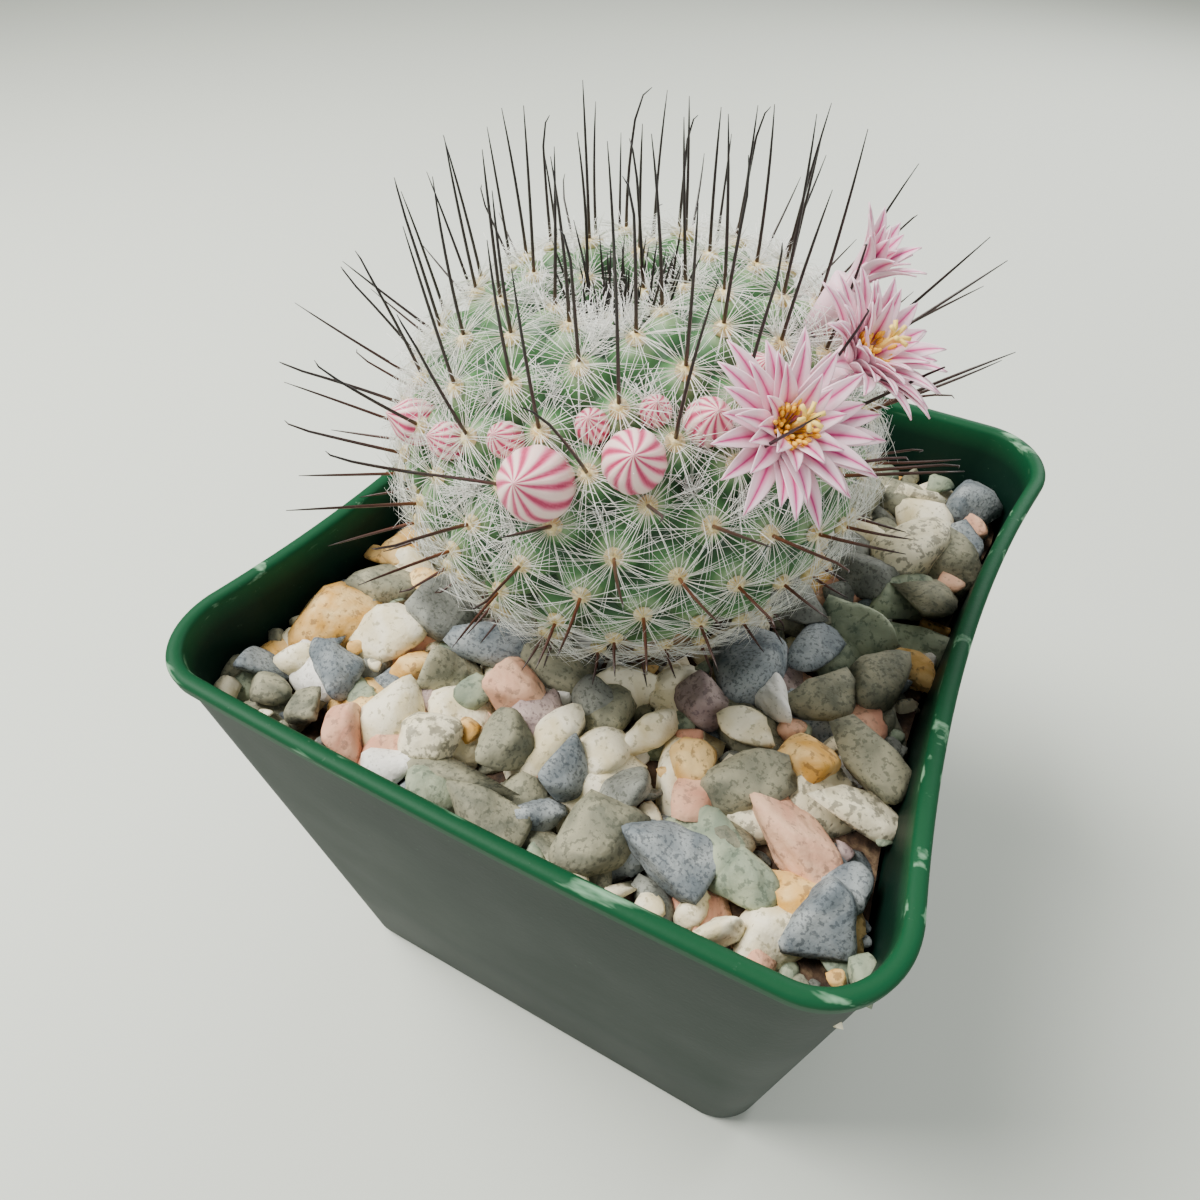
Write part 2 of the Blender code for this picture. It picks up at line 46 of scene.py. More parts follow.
rng = np.random.default_rng(38)


def colour(hexCode):
    # hex sRGB to linear
    parts = [int(hexCode[i:i + 2], 16) / 255 for i in (0, 2, 4)]
    return [p / 12.92 if p <= 0.04045 else ((p + 0.055) / 1.055) ** 2.4 for p in parts] + [1.0]


def addNode(tree, kind, inputs=(), stops=(), **settings):
    # one node with its settings; an input is a value or (node, output)
    node = tree.nodes.new(kind)
    for key, value in settings.items():
        setattr(node, key, value)
    for place, (at, hexCode) in enumerate(stops):
        elements = node.color_ramp.elements
        element = elements[place] if place < 2 else elements.new(at)
        element.position = at
        element.color = colour(hexCode)
    for key, value in dict(inputs).items():
        if isinstance(value, tuple) and hasattr(value[0], "outputs"):
            tree.links.new(value[0].outputs[value[1]], node.inputs[key])
        else:
            node.inputs[key].default_value = value
    return node


def newMaterial(name, shader):
    # a Principled material with these inputs, and a Texture Coordinate node for its patterns
    material = bpy.data.materials.new(name)
    material.use_nodes = True
    tree = material.node_tree
    tree.nodes.clear()
    bsdf = addNode(tree, "ShaderNodeBsdfPrincipled", shader)
    addNode(tree, "ShaderNodeOutputMaterial", {"Surface": (bsdf, 0)})
    coords = addNode(tree, "ShaderNodeTexCoord")
    return material, tree, bsdf, coords


def meshPiece(name, points, faces, material, replaced=(), attributes=()):
    # faces is one array of equal-sided polygons, wound outwards
    mesh = bpy.data.meshes.new(name)
    sides = faces.shape[1]
    mesh.vertices.add(len(points))
    mesh.vertices.foreach_set("co", np.ascontiguousarray(points, np.float32).ravel())
    mesh.loops.add(faces.size)
    mesh.loops.foreach_set("vertex_index", faces.astype(np.int32).ravel())
    mesh.polygons.add(len(faces))
    mesh.polygons.foreach_set("loop_start", np.arange(0, faces.size, sides, dtype=np.int32))
    mesh.update(calc_edges=True)
    for key, values in dict(attributes).items():
        attribute = mesh.attributes.new(key, "FLOAT", "POINT")
        attribute.data.foreach_set("value", values.astype(np.float32).ravel())
    mesh.shade_smooth()
    mesh.materials.append(material)
    piece = bpy.data.objects.new(name, mesh)
    bpy.context.scene.collection.objects.link(piece)
    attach(piece, "root")
    if replaced:
        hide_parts(*replaced)
    return piece


def unit(v):
    # each vector over its own length
    return v / np.maximum(np.linalg.norm(v, axis=-1, keepdims=True), 1e-12)


def sweep(paths, wide, thick, ring, across=None, cup=0.0):
    # closed elliptical tubes, one to a path: a point is path + side * wide * cos(a)
    # + up * (thick * sin(a) + cup * wide * cos(a)^2), and a fan of triangles closes each end
    count, steps, _ = paths.shape
    along = unit(np.gradient(paths, axis=1))
    if across is None:
        across = np.where(np.abs(along[:, :1, 2:]) > 0.8, [1.0, 0.0, 0.0], [0.0, 0.0, 1.0])
    side = unit(np.cross(along, np.broadcast_to(across, along.shape)))
    up = unit(np.cross(along, side))
    turn = np.arange(ring) * math.tau / ring
    cosTurn, sinTurn = np.cos(turn)[:, None], np.sin(turn)[:, None]
    wide = np.broadcast_to(wide, (count, steps))[:, :, None, None]
    thick = np.broadcast_to(thick, (count, steps))[:, :, None, None]
    lift = thick * sinTurn + cup * wide * cosTurn ** 2
    skin = paths[:, :, None] + side[:, :, None] * wide * cosTurn + up[:, :, None] * lift
    points = np.concatenate([skin.reshape(count, -1, 3), paths[:, :1], paths[:, -1:]], axis=1)
    here = np.arange(ring)
    after = (here + 1) % ring
    rows = np.arange(steps - 1)[:, None] * ring
    a, b, c, d = rows + here, rows + after, rows + ring + after, rows + ring + here
    tris = [np.stack([a, b, c], -1).reshape(-1, 3), np.stack([a, c, d], -1).reshape(-1, 3)]
    tris.append(np.stack([np.full(ring, steps * ring), after, here], -1))
    last = (steps - 1) * ring
    tris.append(np.stack([np.full(ring, steps * ring + 1), last + here, last + after], -1))
    tris = np.concatenate(tris)
    faces = (tris[None] + (np.arange(count) * points.shape[1])[:, None, None]).reshape(-1, 3)
    share = np.repeat(np.linspace(0, 1, steps), ring)
    alongShare = np.tile(np.concatenate([share, [0.0, 1.0]]), count)
    acrossShare = np.tile(np.concatenate([np.tile(np.cos(turn), steps), [0.0, 0.0]]), count)
    spin = np.tile(np.concatenate([np.tile(turn, steps), [0.0, 0.0]]), count)
    return points.reshape(-1, 3), faces, {"along": alongShare, "across": acrossShare, "spin": spin}


# camera, light and floor
print("stage: studio")
# the camera's place and lens in mm, and its own right and up directions
view = dict(place=(27.2, -61.4, 127.1), right=(0.8821, 0.4710, -0.0058), up=(-0.3374, 0.6405, 0.6898),
            lens=25.0)
cameraData = bpy.data.cameras.new("camera")
cameraData.lens = view["lens"]
cameraData.clip_start = 0.002
camera = bpy.data.objects.new("camera", cameraData)
bpy.context.scene.collection.objects.link(camera)
axes = np.array([view["right"], view["up"], np.cross(view["right"], view["up"])]).T
matrix = np.eye(4)
matrix[:3, :3] = axes
matrix[:3, 3] = np.array(view["place"]) * mm
camera.matrix_world = Matrix(matrix.tolist())
bpy.context.scene.camera = camera


def addLight(name, place, size, power, tint):
    # a square lamp whose back points away from the target along the unit vector from the target to the lamp
    light = bpy.data.lights.new(name, "AREA")
    light.size = size
    light.energy = power
    light.color = tint
    lamp = bpy.data.objects.new(name, light)
    bpy.context.scene.collection.objects.link(lamp)
    towards = unit(np.array(place) - np.array(lampTarget))
    side = unit(np.cross([0.0, 0.1, 1.0], towards))
    turn = np.eye(4)
    turn[:3, :3] = np.array([side, np.cross(towards, side), towards]).T
    turn[:3, 3] = place
    lamp.matrix_world = Matrix(turn.tolist())


# each lamp: place and width in metres, power in watts, tint
lamps = dict(
    softKey=((-0.35, -0.1, 0.6), 0.36, 11.0, (1.0, 0.98, 0.94)),
    softFill=((0.5, -0.35, 0.35), 0.5, 1.5, (0.95, 0.97, 1.0)),
    backRim=((0.1, 0.5, 0.35), 0.35, 2.4, (1.0, 1.0, 1.0)))
lampTarget = (0, 0, 0.07)
for name, lampLook in lamps.items():
    addLight(name, *lampLook)
sky = dict(tint=(0.86, 0.9, 0.86, 1), strength=0.40)
world = bpy.data.worlds.new("studio")
bpy.context.scene.world = world
world.use_nodes = True
world.node_tree.nodes["Background"].inputs[0].default_value = sky["tint"]
world.node_tree.nodes["Background"].inputs[1].default_value = sky["strength"]
# painted backdrop: an even pale matt grey-green
paper = newMaterial("paintedBackdrop", {"Base Color": colour("cdd2c8"), "Roughness": 0.8})[0]
backdrop = dict(half=2.0, drop=0.2 * mm)
floorCorners = np.array([[-1, -1, 0], [1, -1, 0], [1, 1, 0], [-1, 1, 0]]) * backdrop["half"]
floorPoints = floorCorners - [0, 0, backdrop["drop"]]
floorMesh = bpy.data.meshes.new("floor")
floorMesh.from_pydata(floorPoints.tolist(), [], [[0, 1, 2, 3]])
floorMesh.materials.append(paper)
floor = bpy.data.objects.new("floor", floorMesh)
bpy.context.scene.collection.objects.link(floor)

# pot: injection-moulded polypropylene, which gives dark satin walls, scuffs and fine dust; the brighter lip
# is a painted highlight
print("stage: pot")
potPlastic, tree, bsdf, coords = newMaterial("mouldedPolypropylene", {
    "IOR": 1.49, "Specular IOR Level": 0.12})
# heights in metres; the patterns repeat so often in a metre: clouds 11 mm, specks 0.7 mm, scratches 2.4 mm
potLook = dict(paintedHighlightFrom=0.060, paintedHighlightTo=0.0662, scuffFrom=0.0655, scuffTo=0.0669, cloud=90.0, speck=1500.0,
               scratch=420.0, roughest=0.54, smoothest=0.5)
place = (coords, "Object")
heightSplit = addNode(tree, "ShaderNodeSeparateXYZ", {0: place})
# painted highlight: the wall colour is lightened from 60 mm up to the lip, where the rim catches light
rimPaintedHighlight = addNode(tree, "ShaderNodeMapRange", {
    0: (heightSplit, 2), 1: potLook["paintedHighlightFrom"], 2: potLook["paintedHighlightTo"], 3: 0.0, 4: 1.0})
bodyColourWithPaintedLipHighlight = addNode(tree, "ShaderNodeValToRGB", {0: (rimPaintedHighlight, 0)},
                     ((0.0, "071d16"), (0.6, "082419"), (1.0, "0e4429")))
cloud = addNode(tree, "ShaderNodeTexNoise", {"Vector": place, "Scale": potLook["cloud"], "Detail": 5.0})
speck = addNode(tree, "ShaderNodeTexNoise", {
    "Vector": place, "Scale": potLook["speck"], "Detail": 3.0, "Roughness": 0.7})
dust = addNode(tree, "ShaderNodeMapRange", {0: (speck, 0), 1: 0.68, 2: 0.76, 3: 0.0, 4: 0.4})
dusty = addNode(tree, "ShaderNodeMix", {0: (dust, 0), 6: (bodyColourWithPaintedLipHighlight, 0), 7: colour("4f6a56")},
                data_type="RGBA")
scratchMap = addNode(tree, "ShaderNodeMapping", {
    "Vector": place, "Rotation": (0.4, 0.2, 0.5), "Scale": (0.25, 1.0, 3.0)})
scratch = addNode(tree, "ShaderNodeTexNoise", {
    "Vector": (scratchMap, 0), "Scale": potLook["scratch"], "Detail": 4.0})
scuffBand = addNode(tree, "ShaderNodeMapRange", {
    0: (heightSplit, 2), 1: potLook["scuffFrom"], 2: potLook["scuffTo"], 3: 0.0, 4: 1.0})
scuffSpot = addNode(tree, "ShaderNodeMapRange", {0: (scratch, 0), 1: 0.60, 2: 0.70, 3: 0.0, 4: 0.8})
scuff = addNode(tree, "ShaderNodeMath", {0: (scuffBand, 0), 1: (scuffSpot, 0)}, operation="MULTIPLY")
worn = addNode(tree, "ShaderNodeMix", {0: (scuff, 0), 6: (dusty, 2), 7: colour("86b08f")}, data_type="RGBA")
tree.links.new(worn.outputs[2], bsdf.inputs["Base Color"])
gloss = addNode(tree, "ShaderNodeMapRange", {
    0: (cloud, 0), 1: 0.3, 2: 0.7, 3: potLook["smoothest"], 4: potLook["roughest"]})
tree.links.new(gloss.outputs[0], bsdf.inputs["Roughness"])
bump = addNode(tree, "ShaderNodeBump", {"Height": (speck, 0), "Strength": 0.12, "Distance": 0.0002})
tree.links.new(bump.outputs[0], bsdf.inputs["Normal"])

# potting mix: damp peat with grit, a dull crumbly brown with pale crumbs 1.4 mm across
pottingMix, tree, bsdf, coords = newMaterial("dampPeatMix", {"Roughness": 0.92})
crumb = addNode(tree, "ShaderNodeTexNoise", {"Vector": (coords, "Object"), "Scale": 700.0, "Detail": 8.0})
crumbColour = addNode(tree, "ShaderNodeValToRGB", {0: (crumb, 0)},
                      ((0.3, "1d140d"), (0.55, "4a3626"), (0.8, "8c7658")))
tree.links.new(crumbColour.outputs[0], bsdf.inputs["Base Color"])
bump = addNode(tree, "ShaderNodeBump", {"Height": (crumb, 0), "Strength": 0.9, "Distance": 0.0008})
tree.links.new(bump.outputs[0], bsdf.inputs["Normal"])

# root: dry bark, a matt straw brown with 2 mm mottling
rootBark, tree, bsdf, coords = newMaterial("dryRootBark", {"Roughness": 0.85})
bark = addNode(tree, "ShaderNodeTexNoise", {"Vector": (coords, "Object"), "Scale": 500.0, "Detail": 6.0})
barkColour = addNode(tree, "ShaderNodeValToRGB", {0: (bark, 0)}, ((0.35, "8a6a48"), (0.7, "c2a177")))
tree.links.new(barkColour.outputs[0], bsdf.inputs["Base Color"])

# the tub: a drafted rounded square whose sides bow, all lengths in mm
tub = dict(rim=74.8, base=63.5, rimCorner=8.7, baseCorner=6.5, height=67.0, wall=1.0, floor=1.6, lip=2.2,
           proud=0.6,
           drain=3.2, drainAt=21.0, bows=(0.8, -4.2, 0.8, -5.7), sideSteps=36, cornerSteps=20)


def tubRing(height, inset):
    # straight sides bowed by a parabola, joined by quarter circles that move with the bows on each side
    share = height / tub["height"]
    half = (tub["base"] + (tub["rim"] - tub["base"]) * share) / 2
    corner = tub["baseCorner"] + (tub["rimCorner"] - tub["baseCorner"]) * share
    flat = half - corner
    edge = 1 - (flat / half) ** 2
    ring = []
    for quarter in range(4):
        bow, nextBow = tub["bows"][quarter] * share, tub["bows"][(quarter + 1) % 4] * share
        along = np.linspace(-flat, flat, tub["sideSteps"] + 2)[1:-1]
        side = np.stack([along, inset - half - bow * (1 - (along / half) ** 2)], -1)
        part = np.linspace(0, 1, tub["cornerSteps"] + 1)
        angle = (part - 1) * math.pi / 2
        cornerCurve = np.stack([flat + (corner - inset) * np.cos(angle) + nextBow * edge * part,
                                -flat + (corner - inset) * np.sin(angle) - bow * edge * (1 - part)], -1)
        c, d = ((1, 0), (0, 1), (-1, 0), (0, -1))[quarter]
        ring.append(np.concatenate([side, cornerCurve]) @ np.array([[c, d], [-d, c]]))
    ring = np.concatenate(ring)
    return np.column_stack([ring, np.full(len(ring), height)])


top, lipFoot, proud = tub["height"], tub["height"] - tub["lip"], tub["proud"]
wall, baseTop = tub["wall"], tub["floor"]
bead = np.linspace(-math.pi / 2, math.pi / 2, 7)
# the section, as height and inset: base edge, outer wall, bead under the lip, lip, inner wall, floor
profile = [(0.0, 2.0), (0.0, 1.2), (0.12, 0.6), (0.45, 0.2), (1.2, 0.0), (20.0, 0.0), (42.0, 0.0)]
profile += [(lipFoot - 0.1, 0.0)]
profile += [(lipFoot + 0.35 + 0.35 * math.sin(a), -proud * (0.5 + 0.5 * math.sin(a))) for a in bead]
lipCurve = np.linspace(0, math.pi, 12)
profile += [(top - 0.55 + 0.55 * math.sin(a), 0.2 - (proud + 0.2) * math.cos(a)) for a in lipCurve]
profile += [(top - 0.9, wall), (45.0, wall), (22.0, wall), (3.0, wall)]
profile += [(baseTop + 0.3, 1.4), (baseTop, 2.4), (baseTop, 6.0)]
rings = np.array([tubRing(height, inset) for height, inset in profile])
steps, around = rings.shape[:2]
here, after = np.arange(around), (np.arange(around) + 1) % around
rows = np.arange(steps - 1)[:, None] * around
a, b, c, d = rows + here, rows + after, rows + around + after, rows + around + here
tris = [np.stack([a, b, c], -1).reshape(-1, 3), np.stack([a, c, d], -1).reshape(-1, 3)]
middles = np.array([rings[0].mean(0), rings[-1].mean(0)])
tris.append(np.stack([np.full(around, steps * around), after, here], -1))
lastRow = rows[-1] + around
tris.append(np.stack([np.full(around, steps * around + 1), lastRow + here, lastRow + after], -1))
shell = meshPiece("pot_shell", np.concatenate([rings.reshape(-1, 3), middles]) * mm, np.concatenate(tris),
                  potPlastic, ("pot",))
# drain holes: one straight cutter through the floor near each corner
drainSides = (-tub["drainAt"], tub["drainAt"])
drainEnds = [[x, y, z] for x in drainSides for y in drainSides for z in (-3.0, 6.0)]
drainPath = np.array(drainEnds).reshape(4, 2, 3) * mm
drainPoints, drainFaces, _ = sweep(drainPath, tub["drain"] * mm, tub["drain"] * mm, 48)
drainMesh = bpy.data.meshes.new("drainCutter")
drainMesh.from_pydata(drainPoints.tolist(), [], drainFaces.tolist())
drain = bpy.data.objects.new("drainCutter", drainMesh)
bpy.context.scene.collection.objects.link(drain)
cut = shell.modifiers.new("drainHoles", "BOOLEAN")
cut.object = drain
cut.solver = "EXACT"
whole = bpy.data.meshes.new_from_object(shell.evaluated_get(bpy.context.evaluated_depsgraph_get()))
shell.modifiers.clear()
shell.data = whole
whole.set_sharp_from_angle(angle=math.radians(35))
bpy.data.objects.remove(drain, do_unlink=True)

for name, material in (("potting_mix", pottingMix), ("gravel_bed", pottingMix), ("root", rootBark)):
    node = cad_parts[name]
    node.data.materials.clear()
    node.data.materials.append(material)

# gravel
print("stage: gravel")
# each kind: two ground colours, a speck colour, how much of it, and the speck's grain in mm
kinds = dict(
    olive=("676857", "98947a", "46493c", 0.45, 0.5), blueGrey=("626b70", "969c9c", "2e353b", 0.5, 0.35),
    salmon=("c98f74", "e3b796", "8a6a58", 0.3, 0.8), ochre=("c9953f", "ecc98a", "6b4a26", 0.35, 0.9),
    cream=("d8caa0", "f0e8cf", "8f8462", 0.25, 0.7), mauve=("8f7a78", "b7a29b", "5d4c4f", 0.4, 0.5),
    slate=("62645d", "888a80", "35382f", 0.45, 0.4), white=("dcd9cf", "f4f1ea", "a8a499", 0.2, 0.5),
    piebald=("d9cfae", "efe6c8", "2c2f2b", 0.55, 1.0), green=("74806c", "a3ab8f", "4a5648", 0.4, 0.7))


def stoneMaterial(name, ground, light, dark, amount, grain):
    # broken river stone: mottled ground, mineral specks, pitted matt surface
    material, tree, bsdf, coords = newMaterial(name + "Stone", {"IOR": 1.5, "Roughness": 0.8})
    at = (coords, "Object")
    mottle = addNode(tree, "ShaderNodeTexNoise", {
        "Vector": at, "Scale": 260.0, "Detail": 6.0, "Distortion": 0.8})
    base = addNode(tree, "ShaderNodeValToRGB", {0: (mottle, 0)}, ((0.36, ground), (0.64, light)))
    grains = addNode(tree, "ShaderNodeTexNoise", {
        "Vector": at, "Scale": 1000.0 / grain, "Detail": 3.0, "Roughness": 0.6})
    low = 0.62 - 0.2 * amount
    mask = addNode(tree, "ShaderNodeMapRange", {0: (grains, 0), 1: low, 2: low + 0.07, 3: 0.0, 4: 0.6})
    speckled = addNode(tree, "ShaderNodeMix", {0: (mask, 0), 6: (base, 0), 7: colour(dark)}, data_type="RGBA")
    tree.links.new(speckled.outputs[2], bsdf.inputs["Base Color"])
    pits = addNode(tree, "ShaderNodeTexNoise", {"Vector": at, "Scale": 1800.0, "Detail": 5.0})
    bump = addNode(tree, "ShaderNodeBump", {"Height": (pits, 0), "Strength": 0.45, "Distance": 0.00025})
    tree.links.new(bump.outputs[0], bsdf.inputs["Normal"])
    return material


stoneFinish = {name: stoneMaterial(name, *look) for name, look in kinds.items()}


def sphereGrid(around, down):
    # directions (sin p cos t, sin p sin t, cos p) on a sphere with one point at each pole, and its triangles
    polar = np.linspace(0, math.pi, down + 1)[1:-1]
    turn = np.arange(around) * math.tau / around
    p, t = np.meshgrid(polar, turn, indexing="ij")
    rings = np.stack([np.sin(p) * np.cos(t), np.sin(p) * np.sin(t), np.cos(p)], -1).reshape(-1, 3)
    points = np.concatenate([rings, [[0, 0, 1.0], [0, 0, -1.0]]])
    here, after = np.arange(around), (np.arange(around) + 1) % around
    rows = np.arange(down - 2)[:, None] * around
    a, b, c, d = rows + here, rows + around + here, rows + around + after, rows + after
    top, bottom = len(points) - 2, len(points) - 1
    last = (down - 2) * around
    tris = np.concatenate([np.stack([a, b, c], -1).reshape(-1, 3), np.stack([a, c, d], -1).reshape(-1, 3),
                           np.stack([np.full(around, top), here, after], -1),
                           np.stack([np.full(around, bottom), last + after, last + here], -1)])
    return points, tris


# how a stone is broken: cutting planes, the nearest one's depth, sharpness of the edges, depth of the waves
breakage = dict(planes=13, nearest=0.72, sharpness=8, waves=0.018)


def stones(centres, sizes, turns, seeds, around, down):
    # a stone's radius each way is a soft minimum over random cutting planes; it is then stretched, turned
    # and set down on its centre
    way, tris = sphereGrid(around, down)
    everyPoint, everyFace = [], []
    for number, (centre, size, turn, seed) in enumerate(zip(centres, sizes, turns, seeds)):
        cut = np.random.default_rng(int(seed))
        planes = unit(cut.normal(size=(breakage["planes"], 3)))
        depth = cut.uniform(breakage["nearest"], 1.0, breakage["planes"])
        press = (np.maximum(way @ planes.T, 0) / depth) ** breakage["sharpness"]
        radius = press.sum(1) ** (-1 / breakage["sharpness"])
        wave = np.sin(way @ cut.normal(size=(3, 3)).T * 5 + cut.uniform(0, 6, 3)).sum(1)
        body = way * (radius * (1 + breakage["waves"] * wave))[:, None]
        low, high = body.min(0), body.max(0)
        body = ((body - low) / (high - low) - 0.5) * size
        c, d = math.cos(turn), math.sin(turn)
        body = body @ np.array([[c, d, 0], [-d, c, 0], [0, 0, 1]])
        everyPoint.append(body + centre)
        everyFace.append(tris + number * len(way))
    return np.concatenate(everyPoint), np.concatenate(everyFace)


# top stones: kind, length and width in mm, and turn in degrees; each stands in its CAD stone's place
heroes = dict(
    stone_01=("blueGrey", 9.4, 7.4, 12), stone_02=("salmon", 11.6, 5.8, -28),
    stone_03=("blueGrey", 7.4, 6.2, 80),
    stone_04=("green", 6.2, 5.0, -20), stone_05=("ochre", 6.9, 6.4, 30), stone_06=("cream", 5.2, 3.9, 15),
    stone_07=("olive", 10.6, 5.2, -16), stone_08=("olive", 6.9, 6.2, 70), stone_09=("blueGrey", 5.9, 5.3, 60),
    stone_10=("slate", 6.0, 5.6, 40), stone_11=("cream", 8.2, 3.8, 64), stone_12=("ochre", 5.9, 4.8, 80),
    stone_13=("white", 5.4, 5.2, 0), stone_14=("mauve", 6.4, 5.2, 20), stone_15=("slate", 6.4, 4.4, -10),
    stone_16=("salmon", 6.7, 5.6, 35), stone_17=("olive", 6.4, 6.0, 10), stone_18=("piebald", 6.3, 5.8, 0),
    stone_19=("salmon", 7.0, 5.2, -24), stone_20=("blueGrey", 7.8, 5.6, -14),
    stone_21=("blueGrey", 5.8, 5.0, 40),
    stone_22=("green", 9.0, 6.0, 10))
heroFit, heroRaise = 0.94, 0.6  # share of the length and width kept, and the mm raised and thickened
taken = []
for number, (name, (kind, length, width, turn)) in enumerate(heroes.items()):
    low, high = np.array(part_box(name))
    centre = (low + high) / 2 + [0, 0, heroRaise * mm]
    size = np.array([length * heroFit, width * heroFit, (high - low)[2] / mm + heroRaise]) * mm
    points, faces = stones([centre], [size], [math.radians(turn)], [number + 11], 40, 24)
    meshPiece("top_" + name, points, faces, stoneFinish[kind], (name,))
    taken.append((centre[0], centre[1], (length + width) / 4 * mm))

bedLow, bedHigh = np.array(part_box("gravel_bed"))
# small gravel in an upper and a lower layer, round the neck of the stem; sizes and levels in mm
fill = dict(neck=(1.0 * mm, -1.3 * mm), clear=9.5 * mm, tries=6500, largest=6.4, smallest=1.7, fade=1.4,
            upper=60.0, lower=57.9, wallShare=0.92, spacing=0.74,
            sink=0.35, fullSize=3.4 * mm, unevenness=0.35)
# the pot's inside at that height: half width, how far each side bows in, and the corner's centre and radius
potInside = dict(half=35.9 * mm, left=5.2 * mm, right=3.9 * mm, cornerX=27.5 * mm, cornerY=28 * mm,
                 corner=8.4 * mm)


def insideWall(x, y, reach):
    # a circle of radius reach about x, y lies within the straight sides, the two parabolas and the
    # corner circles
    half = potInside["half"]
    bend = 1 - (y / half) ** 2
    right = half - potInside["right"] * bend
    left = half - potInside["left"] * bend
    pastX, pastY = max(abs(x) - potInside["cornerX"], 0), max(abs(y) - potInside["cornerY"], 0)
    corner = math.hypot(pastX, pastY)
    withinSides = -left + reach < x < right - reach and abs(y) < half - reach
    return withinSides and corner < potInside["corner"] - reach


kindNames = ["olive", "blueGrey", "salmon", "ochre", "cream", "mauve", "slate", "white", "piebald", "green"]
kindShare = np.array([0.24, 0.10, 0.07, 0.09, 0.17, 0.04, 0.09, 0.06, 0.04, 0.10])
layers = []
for level, placed in ((fill["upper"], list(taken)), (fill["lower"], [])):
    neckShare = 1 if level == fill["upper"] else 0
    for trial in range(fill["tries"]):
        share = trial / fill["tries"]
        size = fill["largest"] * (1 - share) ** fill["fade"] + fill["smallest"]
        radius = size / 2 * rng.uniform(0.85, 1.15) * mm
        x, y = rng.uniform(bedLow[0], bedHigh[0]), rng.uniform(bedLow[1], bedHigh[1])
        if not insideWall(x, y, radius * fill["wallShare"]):
            continue
        if math.hypot(x - fill["neck"][0], y - fill["neck"][1]) < fill["clear"] + radius * neckShare:
            continue
        near = np.array(placed)
        gaps = np.hypot(near[:, 0] - x, near[:, 1] - y) if len(near) else None
        if len(near) and (gaps < fill["spacing"] * (near[:, 2] + radius)).any():
            continue
        placed.append((x, y, radius))
        sunk = fill["sink"] * (fill["fullSize"] - radius)
        height = level * mm - sunk + rng.normal(0, fill["unevenness"]) * mm
        kind = rng.choice(len(kindNames), p=kindShare)
        layers.append((x, y, height, radius, kind, rng.uniform(0, math.pi)))
layers = np.array(layers)
for number, kind in enumerate(kindNames):
    chosen = layers[layers[:, 4] == number]
    stretch = rng.uniform([1.0, 0.78, 0.6], [1.35, 1.0, 0.85], (len(chosen), 3))
    sizes = chosen[:, 3:4] * 2 * stretch
    seeds = 1000 + number * 500 + np.arange(len(chosen))
    points, faces = stones(chosen[:, :3], sizes, chosen[:, 5], seeds, 16, 9)
    meshPiece("gravel_" + kind, points, faces, stoneFinish[kind])
print("gravel stones:", len(layers))

# cactus
print("stage: cactus")
cactus = dict(centre=(-1.6, -1.3, 80.3), lean=-6.6, radius=21.9, rise=17.9, sag=0.17, dip=5.5, dipWidth=0.35,
              tubercle=2.4, tubercleReach=2.9,
              goldenAngle=-137.51, firstAngle=69.3, step=0.00855, stretch=7e-6, areoles=184)
leanAngle = math.radians(cactus["lean"])
leanMatrix = np.array([[math.cos(leanAngle), 0, math.sin(leanAngle)], [0, 1, 0],
                       [-math.sin(leanAngle), 0, math.cos(leanAngle)]])


def stemSurface(angle, rise, inset=0.0):
    # a squat globe, where rise is the cosine from the crown: radius * sqrt(1 - rise^2) out from the axis, and
    # height * rise up it, sagging below the middle, less a bell-shaped dip at the crown; then leaned
    wide = np.sqrt(np.maximum(1 - rise ** 2, 0))
    radius = (cactus["radius"] - inset) * wide
    up = rise > 0
    dip = cactus["dip"] * np.exp(-(wide / cactus["dipWidth"]) ** 2) * up
    height = (cactus["rise"] - inset) * rise * np.where(up, 1, 1 + cactus["sag"] * rise ** 2) - dip
    local = np.stack([radius * np.cos(angle), radius * np.sin(angle), height], -1)
    return (local @ leanMatrix.T + cactus["centre"]) * mm


def stemNormal(angle, rise, inset=0.0):
    # cross product of the surface's two small steps, down the stem and round it
    polar = np.arccos(np.clip(rise, -1, 1))
    across = stemSurface(angle + 0.01, rise, inset) - stemSurface(angle - 0.01, rise, inset)
    above = stemSurface(angle, np.cos(np.maximum(polar - 0.01, 1e-3)), inset)
    down = stemSurface(angle, np.cos(polar + 0.01), inset) - above
    return unit(np.cross(down, across))


numbers = np.arange(cactus["areoles"])
riseOf = 1 - cactus["step"] * (numbers + 0.85) - cactus["stretch"] * (numbers + 0.85) ** 2
angleOf = np.radians(cactus["firstAngle"] + cactus["goldenAngle"] * numbers)
areolePoint = stemSurface(angleOf, riseOf)
areoleNormal = stemNormal(angleOf, riseOf)
areoleFoot = areolePoint - areoleNormal * cactus["tubercle"] * mm

# stem skin: waxy green epidermis, with painted shade darkening it between the tubercles and a painted
# highlight lightening their tips
skinGreen, tree, bsdf, coords = newMaterial("waxyGreenSkin", {
    "Roughness": 0.5, "Subsurface Weight": 0.12, "Subsurface Scale": 1 * mm,
    "Subsurface Radius": (0.4, 0.8, 0.2)})
tip = addNode(tree, "ShaderNodeAttribute", attribute_name="tip")
blot = addNode(tree, "ShaderNodeTexNoise", {"Vector": (coords, "Object"), "Scale": 500.0, "Detail": 5.0})
